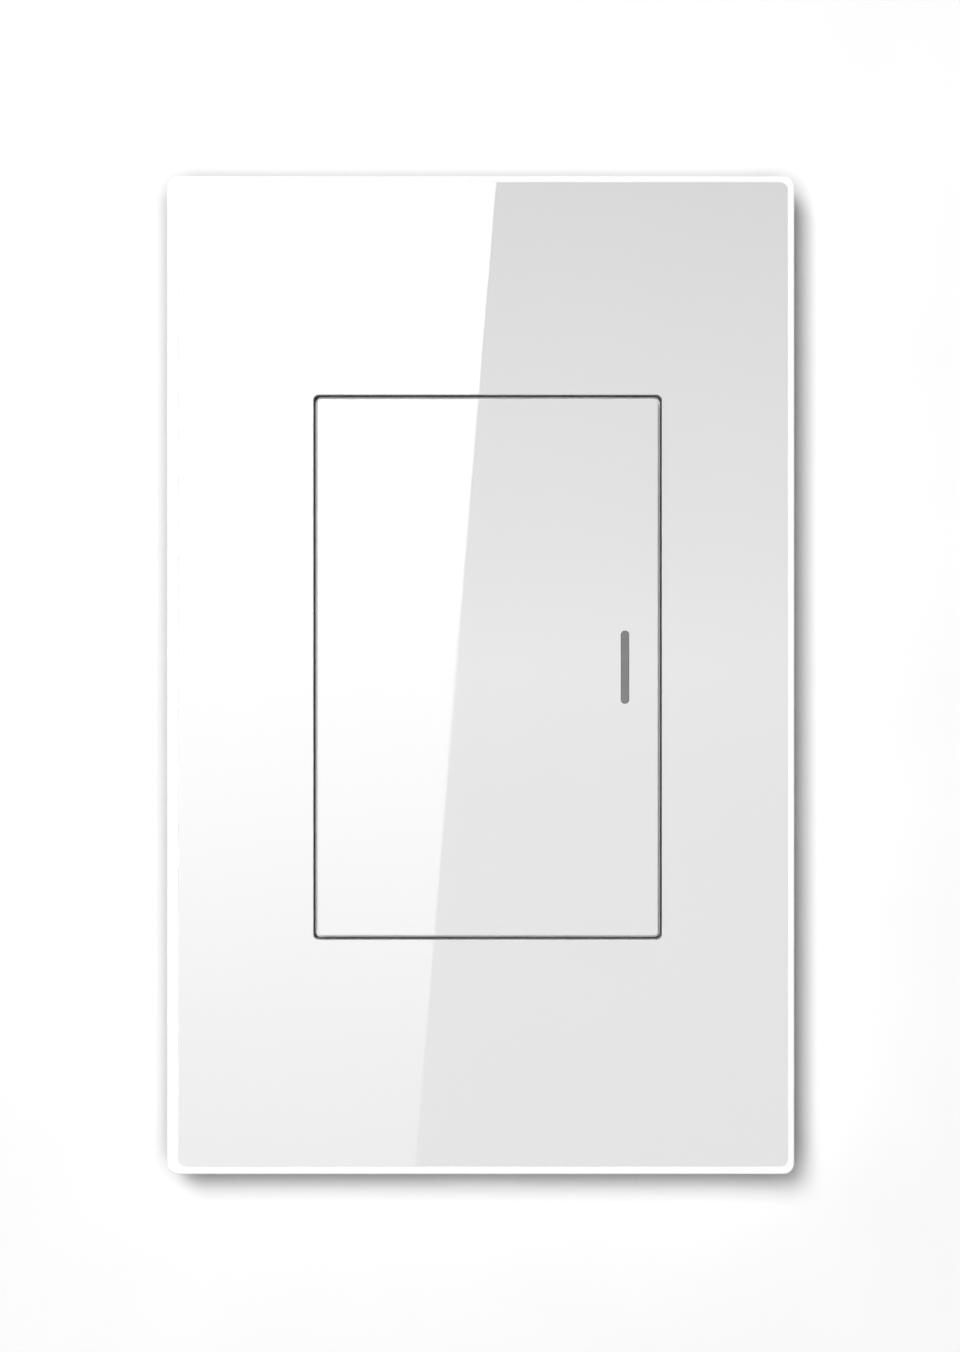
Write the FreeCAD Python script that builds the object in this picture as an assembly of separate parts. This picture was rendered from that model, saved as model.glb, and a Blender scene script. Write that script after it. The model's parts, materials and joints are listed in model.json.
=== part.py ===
import FreeCAD, Part
import os

# Single-gang wall switch with one tall glass key. Sizes are in millimetres.
# The front faces -Y and +Z is up. The origin is the middle of the key and of the two
# box screws, on the wall plane Y = 0. The cover frame sits a little off that middle.

# Cover frame
PLATE_WIDTH = 75.4
PLATE_HEIGHT = 120.0
PLATE_SHIFT_X = -0.85
PLATE_SHIFT_Z = -0.94
PLATE_CORNER_RADIUS = 1.3
PLATE_EDGE_BEVEL = 0.1
RIM_SIDE_WIDTH = 1.03
RIM_END_WIDTH = 0.79
SKIRT_WALL = 1.6
OPENING_WALL = 1.5
OPENING_WALL_LIFT = 0.4
FRAME_RIB_WIDTH = 1.2
FRAME_RIB_LIFT = 1.5
PAD_WIDTH = 3.0
PAD_HEIGHT = 0.8
PRY_NOTCH_WIDTH = 10.0
PRY_NOTCH_HEIGHT = 1.2

# Layers of the glass faces
GLASS_THICKNESS = 2.0
GLASS_BEVEL = 0.06
GLASS_CORNER_RADIUS = 1.0
GLASS_FIT = 0.03
GLASS_SHIFT_X = 0.3
GLASS_SHIFT_Z = 0.11
ADHESIVE_THICKNESS = 0.2
ADHESIVE_INSET = 1.2
CARRIER_THICKNESS = 1.5

# Key
KEY_WIDTH = 40.9
KEY_HEIGHT = 64.5
KEY_GAP = 0.5
LEDGE_CLEARANCE = 0.15
KEY_CORNER_RADIUS = 0.4
KEY_SPACE = 3.3
KEY_WALL = 1.2
KEY_WALL_DEPTH = 1.3
KEY_RIB_WIDTH = 1.2
KEY_UPRIGHT_RIB_X = 8.0

# Key hinge at the left edge
HINGE_INSET = 3.45
HINGE_HEIGHT = 1.6
HINGE_SPREAD = 22.0
PIN_RADIUS = 1.1
PIN_REACH = 3.0
PIN_CLEARANCE = 0.04
EAR_THICKNESS = 2.0
EAR_WALL = 0.35
EAR_SIDE_PLAY = 0.2
BEARING_LENGTH = 2.6
BEARING_WALL = 0.85
BEARING_WRAP = 0.55

# Key hooks at the right edge
HOOK_INSET = 3.55
HOOK_THICKNESS = 1.2
HOOK_WIDTH = 5.0
HOOK_REACH = 1.1
HOOK_HEIGHT = 1.2
HOOK_PLAY = 0.05
HOOK_SLOT_CLEARANCE = 0.35
HOOK_SPREAD = 22.0

# Indicator lens and its light
LENS_INSET = 3.95
LENS_WIDTH = 0.9
LENS_LENGTH = 8.7
LENS_FIT = 0.05
LENS_FLANGE = 0.8
LENS_FLANGE_THICKNESS = 1.0
LIGHT_HOLE_MARGIN = 1.2
LED_WIDTH = 1.3
LED_LENGTH = 2.0
LED_HEIGHT = 0.8

# Tact switch and the leg that presses it
TACT_X = -1.0
TACT_WIDTH = 6.0
TACT_BODY_HEIGHT = 3.0
TACT_CLEARANCE = 0.1
TACT_CORNER = 0.6
PLUNGER_RADIUS = 1.75
PLUNGER_CLEARANCE = 0.05
PLUNGER_RISE = 2.2
PLUNGER_ROOT = 1.2
PLUNGER_WELL_DEPTH = 2.0
PLUNGER_HOLE_MARGIN = 0.45
LEG_WIDTH = 2.4
LEG_LENGTH = 8.0
LEG_PLAY = 0.05

# Return springs
SPRING_SPREAD = 12.0
SPRING_WIDTH = 4.0
SPRING_THICKNESS = 0.3
SPRING_FOOT_START_X = -13.5
SPRING_FOOT_LENGTH = 5.0
SPRING_REACH = 11.5
SPRING_TIP_LENGTH = 1.6
SPRING_TIP_DROP = 0.7
SPRING_PLAY = 0.03
PEG_WIDTH = 1.6
PEG_CLEARANCE = 0.1
PEG_HEAD_WIDTH = 2.8
PEG_HEAD_HEIGHT = 0.6

# Steel mounting strap and the box screws
STRAP_THICKNESS = 1.5
STRAP_END_MARGIN = 5.4
STRAP_SIDE_MARGIN = 0.75
STRAP_CORNER_RADIUS = 4.0
STRAP_OPENING_MARGIN = 0.7
BOX_SCREW_MARGIN = 2.1
BOX_SCREW_RADIUS = 1.75
BOX_SCREW_NECK_RADIUS = 1.55
BOX_SCREW_LENGTH = 20.0
BOX_SCREW_HEAD_RADIUS = 3.6
BOX_SCREW_HEAD_HEIGHT = 2.1
SLOT_CLEARANCE = 0.2
SLOT_LENGTH = 9.0
ANCHOR_SIDE_INSET = 10.0
ANCHOR_END_INSET = 7.0
ANCHOR_HOLE_RADIUS = 1.7
DRIVE_SLOT_WIDTH = 0.8
DRIVE_SLOT_DEPTH = 1.0
DRIVE_SLOT_SHARE = 0.6

# Front housing
DECK_THICKNESS = 1.5
RIM_CLEARANCE = 0.3
HOUSING_RIM_WALL = 1.5
HOUSING_CORNER_RADIUS = 2.0
LIP_LIFT = 0.4
GROOVE_DEPTH = 0.85
GROOVE_HEIGHT = 1.5
GROOVE_SIDE_MARGIN = 0.6
BOARD_POST_WIDTH = 2.6
BOARD_POST_X = 8.0
BOARD_POST_INSET = 3.5

# Snap arms of the cover frame
ARM_SPREAD = 12.0
ARM_WIDTH = 6.0
ARM_THICKNESS = 1.4
ARM_CLEARANCE = 0.2
ARM_LIFT = 0.3
BARB_REACH = 0.55
BARB_HEIGHT = 1.2
BARB_FLAT = 0.3

# Back housing and the screws that close it
BACK_HEIGHT = 67.0
BACK_HEADROOM = 3.0
BACK_WALL = 1.8
BACK_CORNER_RADIUS = 2.5
BACK_EDGE_BEVEL = 0.8
SCREW_INSET = 3.8
HOUSING_SCREW_RADIUS = 1.2
HOUSING_SCREW_HOLE_CLEARANCE = 0.15
HOUSING_SCREW_HEAD_RADIUS = 2.0
HOUSING_SCREW_HEAD_HEIGHT = 2.0
HOUSING_SCREW_BITE = 3.5
BOSS_WIDTH = 5.0
BOSS_LENGTH = 4.5
WELL_FLOOR = 2.0
WELL_CLEARANCE = 0.5
WELL_WALL = 0.9
BOARD_RIB_Z = 16.0
BOARD_RIB_REACH = 1.4
BOARD_RIB_WIDTH = 2.0
VENT_COUNT = 5
VENT_PITCH = 3.0
VENT_WIDTH = 1.2
VENT_LENGTH = 6.0
VENT_SETBACK = 4.0

# Circuit boards
BOARD_SPACING = 5.2
CONTROL_BOARD_THICKNESS = 1.2
POWER_BOARD_THICKNESS = 1.6
BOARD_CLEARANCE = 0.4
NOTCH_CLEARANCE = 0.4
HEADER_PINS = 6
HEADER_PIN_SPACING = 2.54
HEADER_BODY_HEIGHT = 2.5
HEADER_Z = 18.0
HEADER_PIN_WIDTH = 0.64
HEADER_PIN_LENGTH = 2.2
SOCKET_CLEARANCE = 0.1
RADIO_WIDTH = 16.0
RADIO_HEIGHT = 13.0
RADIO_THICKNESS = 0.8
RADIO_X = 7.0
RADIO_Z = -8.0
SHIELD_MARGIN = 1.2
SHIELD_HEIGHT = 2.2
SHIELD_BEVEL = 0.4
CHIP_WIDTH = 7.0
CHIP_HEIGHT = 1.0
CHIP_X = -9.0
CHIP_Z = -8.0

# Parts on the power board
PART_GAP = 1.0
COLUMN_GAP = 1.8
PART_BEVEL = 0.5
RELAY_WIDTH = 10.0
RELAY_LENGTH = 20.0
RELAY_HEIGHT = 15.6
BULK_RADIUS = 4.0
BULK_HEIGHT = 12.0
OUTPUT_RADIUS = 2.5
OUTPUT_HEIGHT = 9.0
FILM_WIDTH = 13.0
FILM_THICKNESS = 5.0
FILM_HEIGHT = 11.0
VARISTOR_RADIUS = 4.2
VARISTOR_THICKNESS = 3.5
LEAD_WIDTH = 0.7
LEAD_LENGTH = 1.2
FUSE_RADIUS = 1.8
FUSE_LENGTH = 8.0
BRIDGE_WIDTH = 4.7
BRIDGE_LENGTH = 3.9
BRIDGE_HEIGHT = 2.5
CORE_WIDTH = 14.0
CORE_HEIGHT = 12.0
CORE_DEPTH = 6.0
CORE_LEG = 2.0
CENTRE_LEG = 4.4
WINDING_DEPTH = 12.0
WINDING_BEVEL = 1.8
COIL_CLEARANCE = 0.1
COIL_BASE_THICKNESS = 1.5

# Terminals
POLE_COUNT = 3
POLE_PITCH = 7.4
BLOCK_DEPTH = 12.0
BLOCK_CLEARANCE = 0.1
CLAMP_OPENING_WIDTH = 5.0
CLAMP_OPENING_HEIGHT = 4.8
CLAMP_WALL = 0.5
CLAMP_BACK_WALL = 1.6
CLAMP_LENGTH = 8.0
CLAMP_FLOOR = 3.6
CLAMP_FIT = 0.05
CLAMP_SCREW_RADIUS = 1.75
CLAMP_SCREW_LENGTH = 6.0
CLAMP_SCREW_CLEARANCE = 0.3

# Depths along Y, worked out from the wall towards the front
WALL_PLANE = 0.0
strap_front = WALL_PLANE - STRAP_THICKNESS
deck_front = strap_front - DECK_THICKNESS
carrier_back = deck_front - KEY_SPACE
carrier_front = carrier_back - CARRIER_THICKNESS
glass_back = carrier_front - ADHESIVE_THICKNESS
glass_front = glass_back - GLASS_THICKNESS
rim_front = glass_front + GLASS_BEVEL
housing_rim_front = carrier_back + PAD_HEIGHT
key_wall_back = carrier_back + KEY_WALL_DEPTH
lip_back = deck_front - LIP_LIFT
hinge_y = deck_front - HINGE_HEIGHT

# Depths along Y, worked out from the wall towards the back
boss_back = strap_front + BOSS_LENGTH
well_floor_back = boss_back + WELL_FLOOR
tact_front = strap_front + TACT_CLEARANCE
control_board_front = tact_front + TACT_BODY_HEIGHT
control_board_back = control_board_front + CONTROL_BOARD_THICKNESS
power_board_front = control_board_back + BOARD_SPACING
power_board_back = power_board_front + POWER_BOARD_THICKNESS
back_inner = power_board_back + RELAY_HEIGHT + BACK_HEADROOM
back_depth = back_inner + BACK_WALL
plunger_tip = tact_front - PLUNGER_RISE

# Sizes across, worked out from the key outwards
opening_width = KEY_WIDTH + 2 * KEY_GAP
opening_height = KEY_HEIGHT + 2 * KEY_GAP
opening_radius = KEY_CORNER_RADIUS + KEY_GAP / 2
frame_wall_width = opening_width + 2 * OPENING_WALL
frame_wall_height = opening_height + 2 * OPENING_WALL
housing_inner_width = frame_wall_width + 2 * RIM_CLEARANCE
housing_inner_height = frame_wall_height + 2 * RIM_CLEARANCE
housing_width = housing_inner_width + 2 * HOUSING_RIM_WALL
housing_height = housing_inner_height + 2 * HOUSING_RIM_WALL
pocket_width = PLATE_WIDTH - 2 * RIM_SIDE_WIDTH
pocket_height = PLATE_HEIGHT - 2 * RIM_END_WIDTH
pocket_x = PLATE_SHIFT_X + GLASS_SHIFT_X
pocket_z = PLATE_SHIFT_Z + GLASS_SHIFT_Z
glass_width = pocket_width - 2 * GLASS_FIT
glass_height = pocket_height - 2 * GLASS_FIT
key_ledge = KEY_GAP - LEDGE_CLEARANCE

# Places of the mechanism
hinge_x = HINGE_INSET - KEY_WIDTH / 2
hook_x = KEY_WIDTH / 2 - HOOK_INSET
lens_x = KEY_WIDTH / 2 - LENS_INSET
spring_foot_end_x = SPRING_FOOT_START_X + SPRING_FOOT_LENGTH
spring_tip_x = spring_foot_end_x + SPRING_REACH
peg_x = SPRING_FOOT_START_X + SPRING_FOOT_LENGTH / 2

# Sizes across behind the wall plane
board_half_width = CORE_WIDTH / 2 + COLUMN_GAP + RELAY_WIDTH + PART_GAP
inner_width = 2 * (board_half_width + BOARD_CLEARANCE)
back_width = inner_width + 2 * BACK_WALL
inner_height = BACK_HEIGHT - 2 * BACK_WALL
strap_width = housing_width + 2 * STRAP_SIDE_MARGIN
strap_height = PLATE_HEIGHT - 2 * (SKIRT_WALL + STRAP_END_MARGIN)
strap_opening_width = inner_width - 2 * STRAP_OPENING_MARGIN
strap_opening_height = inner_height - 2 * STRAP_OPENING_MARGIN
anchor_x = strap_width / 2 - ANCHOR_SIDE_INSET
anchor_z = strap_height / 2 - ANCHOR_END_INSET
box_screw_z = housing_height / 2 + BOX_SCREW_HEAD_RADIUS + BOX_SCREW_MARGIN
screw_x = strap_opening_width / 2 - SCREW_INSET
screw_z = strap_opening_height / 2 - SCREW_INSET
well_radius = HOUSING_SCREW_HEAD_RADIUS + WELL_CLEARANCE
column_reach = well_radius + WELL_WALL
board_half_height = inner_height / 2 - BOARD_CLEARANCE
notch_x = screw_x - column_reach - NOTCH_CLEARANCE
notch_z = screw_z - column_reach - NOTCH_CLEARANCE

# Terminal places
block_bottom = BLOCK_CLEARANCE - inner_height / 2
block_top = block_bottom + BLOCK_DEPTH
clamp_bottom = block_bottom + CLAMP_FIT
clamp_top = clamp_bottom + CLAMP_LENGTH
clamp_middle_z = (clamp_bottom + clamp_top) / 2
clamp_front = power_board_back + CLAMP_FLOOR
clamp_inner_front = clamp_front + CLAMP_WALL
clamp_inner_back = clamp_inner_front + CLAMP_OPENING_HEIGHT
clamp_back = clamp_inner_back + CLAMP_BACK_WALL
access_radius = CLAMP_SCREW_RADIUS + CLAMP_SCREW_CLEARANCE
pole_places = [(number - (POLE_COUNT - 1) / 2) * POLE_PITCH for number in range(POLE_COUNT)]

# Places on the power board: rows stack upwards from the terminal block
row_start_z = block_top + PART_GAP
left_x = PART_GAP + RELAY_WIDTH / 2 - board_half_width
right_x = board_half_width - 2 * PART_GAP - BULK_RADIUS
film_z = row_start_z + FILM_THICKNESS / 2
varistor_z = row_start_z + VARISTOR_RADIUS
fuse_z = row_start_z + FUSE_LENGTH / 2
relay_z = varistor_z + VARISTOR_RADIUS + PART_GAP + RELAY_LENGTH / 2
coil_z = film_z + FILM_THICKNESS / 2 + PART_GAP + WINDING_DEPTH / 2
bulk_z = fuse_z + FUSE_LENGTH / 2 + 2 * PART_GAP + BULK_RADIUS
bulk_step = 2 * BULK_RADIUS + PART_GAP
bridge_z = coil_z + WINDING_DEPTH / 2 + PART_GAP + BRIDGE_LENGTH / 2
output_z = bridge_z + BRIDGE_LENGTH / 2 + PART_GAP + OUTPUT_RADIUS

ALONG_X = FreeCAD.Vector(1, 0, 0)
ALONG_Y = FreeCAD.Vector(0, 1, 0)
ALONG_Z = FreeCAD.Vector(0, 0, 1)
PAST = 1.0  # how far a cutting tool reaches past the face it opens


def block(x_from, x_to, y_from, y_to, z_from, z_to):
    corner = FreeCAD.Vector(x_from, y_from, z_from)
    return Part.makeBox(x_to - x_from, y_to - y_from, z_to - z_from, corner)


def centred_block(width, height, y_from, y_to, x=0.0, z=0.0):
    return block(x - width / 2, x + width / 2, y_from, y_to, z - height / 2, z + height / 2)


def rod(radius, x, z, y_from, y_to):
    return Part.makeCylinder(radius, y_to - y_from, FreeCAD.Vector(x, y_from, z), ALONG_Y)


def upright_rod(radius, x, y, z_from, z_to):
    return Part.makeCylinder(radius, z_to - z_from, FreeCAD.Vector(x, y, z_from), ALONG_Z)


def edges_along(shape, direction):
    straight = [edge for edge in shape.Edges if isinstance(edge.Curve, Part.Line)]
    return [edge for edge in straight if abs(edge.Curve.Direction.dot(direction)) > 0.99]


def edges_at(shape, y):
    """The edges that lie in the plane at this depth."""
    return [edge for edge in shape.Edges
            if abs(edge.BoundBox.YMin - y) < 1e-5 and abs(edge.BoundBox.YMax - y) < 1e-5]


def slab(width, height, radius, y_from, y_to, x=0.0, z=0.0):
    """A plate with round corners, seen from the front."""
    plain = centred_block(width, height, y_from, y_to, x, z)
    return plain.makeFillet(radius, edges_along(plain, ALONG_Y))


def upright_slot(width, length, y_from, y_to, x=0.0, z=0.0):
    """A plate with half-round ends at its top and bottom."""
    straight = length - width
    middle = centred_block(width, straight, y_from, y_to, x, z)
    ends = [rod(width / 2, x, z + side * straight / 2, y_from, y_to) for side in (-1, 1)]
    return middle.multiFuse(ends).removeSplitter()


def level_slot(width, length, y_from, y_to, x=0.0, z=0.0):
    """A plate with half-round ends at its left and right."""
    straight = length - width
    middle = centred_block(straight, width, y_from, y_to, x, z)
    ends = [rod(width / 2, x + side * straight / 2, z, y_from, y_to) for side in (-1, 1)]
    return middle.multiFuse(ends).removeSplitter()


def prism(points, direction):
    """A solid swept along a direction from an outline given by its corners."""
    outline = Part.makePolygon(points + points[:1])
    return Part.Face(outline).extrude(direction)


def corners():
    return [(side_x, side_z) for side_x in (-1, 1) for side_z in (-1, 1)]


def screw_corners():
    """The two opposite corners that the closing screws pass through."""
    return [(-1, 1), (1, -1)]


def drive_cross(head_radius, x, z, y_from, y_to):
    """The cross recess of a screw head."""
    reach = 2 * head_radius * DRIVE_SLOT_SHARE
    across = centred_block(reach, DRIVE_SLOT_WIDTH, y_from, y_to, x, z)
    return across.fuse(centred_block(DRIVE_SLOT_WIDTH, reach, y_from, y_to, x, z))


# Cover frame

def opening_cut(y_from, y_to):
    return slab(opening_width, opening_height, opening_radius, y_from, y_to)


def cover_frame_glass():
    glass = slab(glass_width, glass_height, GLASS_CORNER_RADIUS, glass_front, glass_back,
                 pocket_x, pocket_z)
    glass = glass.cut(opening_cut(glass_front - PAST, glass_back + PAST))
    return glass.makeChamfer(GLASS_BEVEL, edges_at(glass, glass_front))


def cover_frame_adhesive():
    width = glass_width - 2 * ADHESIVE_INSET
    height = glass_height - 2 * ADHESIVE_INSET
    sheet = centred_block(width, height, glass_back, carrier_front, pocket_x, pocket_z)
    return sheet.cut(centred_block(opening_width + 2 * ADHESIVE_INSET,
                                   opening_height + 2 * ADHESIVE_INSET,
                                   glass_back - PAST, carrier_front + PAST))


def snap_arm(x, side):
    """One arm that hooks behind the lip of the front housing."""
    inner = housing_height / 2 + ARM_CLEARANCE
    outer = inner + ARM_THICKNESS
    tip = housing_height / 2 - BARB_REACH
    end = strap_front - ARM_LIFT
    profile = [
        (carrier_back, outer),
        (carrier_back, inner),
        (lip_back, inner),
        (lip_back, tip),
        (lip_back + BARB_FLAT, tip),
        (lip_back + BARB_HEIGHT, inner),
        (end, inner),
        (end, outer),
    ]
    points = [FreeCAD.Vector(x - ARM_WIDTH / 2, y, side * z) for y, z in profile]
    return prism(points, ALONG_X * ARM_WIDTH)


def frame_ribs():
    """Stiffening ribs between the snap arms or the housing and the skirt."""
    left = PLATE_SHIFT_X - PLATE_WIDTH / 2 + SKIRT_WALL
    right = PLATE_SHIFT_X + PLATE_WIDTH / 2 - SKIRT_WALL
    bottom = PLATE_SHIFT_Z - PLATE_HEIGHT / 2 + SKIRT_WALL
    top = PLATE_SHIFT_Z + PLATE_HEIGHT / 2 - SKIRT_WALL
    side_start = housing_width / 2 + RIM_CLEARANCE
    end_start = housing_height / 2 + ARM_CLEARANCE + ARM_THICKNESS + RIM_CLEARANCE
    rib_back = strap_front - FRAME_RIB_LIFT
    half = FRAME_RIB_WIDTH / 2
    ribs = []
    for step in (-1, 0, 1):
        z = step * HINGE_SPREAD
        ribs.append(block(left, -side_start, carrier_back, rib_back, z - half, z + half))
        ribs.append(block(side_start, right, carrier_back, rib_back, z - half, z + half))
    for side in (-1, 1):
        x = side * ARM_SPREAD / 2
        ribs.append(block(x - half, x + half, carrier_back, rib_back, end_start, top))
        ribs.append(block(x - half, x + half, carrier_back, rib_back, bottom, -end_start))
        x = side * (ARM_SPREAD + ARM_WIDTH)
        ribs.append(block(x - half, x + half, carrier_back, rib_back, end_start, top))
        ribs.append(block(x - half, x + half, carrier_back, rib_back, bottom, -end_start))
    return ribs


def seating_pads():
    """Pads that rest on the front of the housing's rim."""
    middle = (housing_inner_height + housing_height) / 4
    return [centred_block(PAD_WIDTH, HOUSING_RIM_WALL, carrier_back, housing_rim_front,
                          side_x * ARM_SPREAD / 2, side_z * middle)
            for side_x, side_z in corners()]


def cover_frame_carrier():
    body = slab(PLATE_WIDTH, PLATE_HEIGHT, PLATE_CORNER_RADIUS, rim_front, WALL_PLANE,
                PLATE_SHIFT_X, PLATE_SHIFT_Z)
    body = body.makeChamfer(PLATE_EDGE_BEVEL, edges_at(body, rim_front))
    pocket = slab(pocket_width, pocket_height, GLASS_CORNER_RADIUS + GLASS_FIT,
                  rim_front - PAST, carrier_front, pocket_x, pocket_z)
    hollow = centred_block(PLATE_WIDTH - 2 * SKIRT_WALL, PLATE_HEIGHT - 2 * SKIRT_WALL,
                           carrier_back, WALL_PLANE + PAST, PLATE_SHIFT_X, PLATE_SHIFT_Z)
    body = body.cut(pocket).cut(hollow)
    wall = centred_block(frame_wall_width, frame_wall_height, carrier_back,
                         deck_front - OPENING_WALL_LIFT)
    arms = [snap_arm(side_x * ARM_SPREAD, side_z) for side_x, side_z in corners()]
    body = body.multiFuse([wall] + arms + frame_ribs() + seating_pads())
    bottom = PLATE_SHIFT_Z - PLATE_HEIGHT / 2
    notch = block(-PRY_NOTCH_WIDTH / 2, PRY_NOTCH_WIDTH / 2, WALL_PLANE - PRY_NOTCH_HEIGHT,
                  WALL_PLANE + PAST, bottom - PAST, bottom + SKIRT_WALL / 2)
    body = body.cut(opening_cut(rim_front - PAST, WALL_PLANE))
    return body.cut(notch).removeSplitter()


# Key

def key_slab(y_from, y_to, ledge=0.0):
    return slab(KEY_WIDTH + 2 * ledge, KEY_HEIGHT + 2 * ledge, KEY_CORNER_RADIUS + ledge,
                y_from, y_to)


def lens_cut(margin, y_from, y_to):
    return upright_slot(LENS_WIDTH + 2 * margin, LENS_LENGTH + 2 * margin, y_from, y_to, lens_x)


def lens_window(margin, y_from, y_to):
    """A square-cornered opening round the lens, for pieces that don't show."""
    return centred_block(LENS_WIDTH + 2 * margin, LENS_LENGTH + 2 * margin, y_from, y_to, lens_x)


def key_glass():
    glass = key_slab(glass_front, glass_back)
    glass = glass.makeChamfer(GLASS_BEVEL, edges_at(glass, glass_front))
    return glass.cut(lens_cut(LENS_FIT, glass_front - PAST, glass_back + PAST))


def key_adhesive():
    sheet = centred_block(KEY_WIDTH - 2 * ADHESIVE_INSET, KEY_HEIGHT - 2 * ADHESIVE_INSET,
                          glass_back, carrier_front)
    return sheet.cut(lens_window(LENS_FLANGE, glass_back - PAST, carrier_front + PAST))


def indicator_lens():
    """A light guide whose flange seats behind the key's carrier."""
    stem = lens_cut(0.0, glass_front, carrier_back)
    flange = lens_window(LENS_FLANGE, carrier_back, carrier_back + LENS_FLANGE_THICKNESS)
    return stem.fuse(flange).removeSplitter()


def hinge_ear(side):
    """One hanging ear whose pin points away from the middle, on the hinge line."""
    radius = PIN_RADIUS + EAR_WALL
    z = side * HINGE_SPREAD
    half = EAR_THICKNESS / 2
    pin_end = z + side * (half + PIN_REACH)
    web = block(hinge_x - radius, hinge_x + radius, carrier_back, hinge_y, z - half, z + half)
    eye = upright_rod(radius, hinge_x, hinge_y, z - half, z + half)
    pin = upright_rod(PIN_RADIUS, hinge_x, hinge_y, min(z, pin_end), max(z, pin_end))
    return web.multiFuse([eye, pin])


def hook(z):
    """One hook that catches behind the deck and holds the key level."""
    catch = strap_front + HOOK_PLAY
    stem_left = hook_x - HOOK_THICKNESS / 2
    stem_right = hook_x + HOOK_THICKNESS / 2
    profile = [
        (stem_left, carrier_back),
        (stem_right, carrier_back),
        (stem_right, catch),
        (stem_right + HOOK_REACH, catch),
        (stem_right, catch + HOOK_HEIGHT),
        (stem_left, catch + HOOK_HEIGHT),
    ]
    points = [FreeCAD.Vector(x, y, z - HOOK_WIDTH / 2) for x, y in profile]
    return prism(points, ALONG_Z * HOOK_WIDTH)


def pressing_leg():
    """The rib with a round nose that pushes the tact switch."""
    nose = LEG_WIDTH / 2
    nose_y = plunger_tip - LEG_PLAY - nose
    web = centred_block(LEG_WIDTH, LEG_LENGTH, carrier_back, nose_y, TACT_X)
    return web.fuse(upright_rod(nose, TACT_X, nose_y, -LEG_LENGTH / 2, LEG_LENGTH / 2))


def key_ribs():
    half = KEY_RIB_WIDTH / 2
    left = SPRING_FOOT_START_X
    right = KEY_WIDTH / 2 - KEY_WALL
    top = KEY_HEIGHT / 2 - KEY_WALL
    ribs = []
    for side in (-1, 1):
        z = side * SPRING_SPREAD
        ribs.append(block(left, right, carrier_back, key_wall_back, z - half, z + half))
    for x in (SPRING_FOOT_START_X, KEY_UPRIGHT_RIB_X):
        ribs.append(block(x - half, x + half, carrier_back, key_wall_back, -top, top))
    return ribs


def key_carrier():
    wall = key_slab(carrier_back, key_wall_back)
    wall = wall.cut(centred_block(KEY_WIDTH - 2 * KEY_WALL, KEY_HEIGHT - 2 * KEY_WALL,
                                  carrier_back, key_wall_back + PAST))
    body = key_slab(carrier_front, carrier_back, key_ledge).fuse(wall)
    ears = [hinge_ear(side) for side in (-1, 1)]
    hooks = [hook(side * HOOK_SPREAD) for side in (-1, 1)]
    body = body.multiFuse([pressing_leg()] + ears + hooks + key_ribs())
    body = body.cut(lens_cut(LENS_FIT, carrier_front - PAST, carrier_back + PAST))
    return body.removeSplitter()


# Front housing

def hinge_bearings():
    """Blocks with round seats, open to the front, that the hinge pins snap into."""
    half = BEARING_WALL + PIN_RADIUS + PIN_CLEARANCE
    start = EAR_THICKNESS / 2 + EAR_SIDE_PLAY
    seats = []
    for side in (-1, 1):
        middle = side * (HINGE_SPREAD + start + BEARING_LENGTH / 2)
        seats.append(block(hinge_x - half, hinge_x + half, hinge_y - BEARING_WRAP, deck_front,
                           middle - BEARING_LENGTH / 2, middle + BEARING_LENGTH / 2))
    return seats


def hinge_bores():
    reach = EAR_THICKNESS / 2 + PIN_REACH + EAR_SIDE_PLAY
    radius = PIN_RADIUS + PIN_CLEARANCE
    return [upright_rod(radius, hinge_x, hinge_y, side * HINGE_SPREAD - reach,
                        side * HINGE_SPREAD + reach) for side in (-1, 1)]


def hook_slots():
    slots = []
    left = hook_x - HOOK_THICKNESS / 2 - HOOK_SLOT_CLEARANCE
    right = hook_x + HOOK_THICKNESS / 2 + HOOK_SLOT_CLEARANCE
    half = HOOK_WIDTH / 2 + HOOK_SLOT_CLEARANCE
    for side in (-1, 1):
        z = side * HOOK_SPREAD
        slots.append(block(left, right, deck_front - PAST, strap_front + PAST, z - half, z + half))
    return slots


def snap_grooves():
    """Undercuts at the top and bottom edges for the barbs of the cover frame."""
    half = ARM_WIDTH / 2 + GROOVE_SIDE_MARGIN
    edge = housing_height / 2
    grooves = []
    for side_x, side_z in corners():
        middle_z = side_z * (edge - GROOVE_DEPTH / 2 + PAST / 2)
        grooves.append(centred_block(2 * half, GROOVE_DEPTH + PAST, lip_back,
                                     lip_back + GROOVE_HEIGHT, side_x * ARM_SPREAD, middle_z))
    return grooves


def spring_pegs():
    """Square pegs with a wider head that hold the feet of the springs."""
    head_front = deck_front - SPRING_THICKNESS - PEG_HEAD_HEIGHT
    head_back = head_front + PEG_HEAD_HEIGHT
    pegs = []
    for side in (-1, 1):
        z = side * SPRING_SPREAD
        pegs.append(centred_block(PEG_WIDTH, PEG_WIDTH, head_back, deck_front, peg_x, z))
        pegs.append(centred_block(PEG_HEAD_WIDTH, PEG_HEAD_WIDTH, head_front, head_back, peg_x, z))
    return pegs


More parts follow.
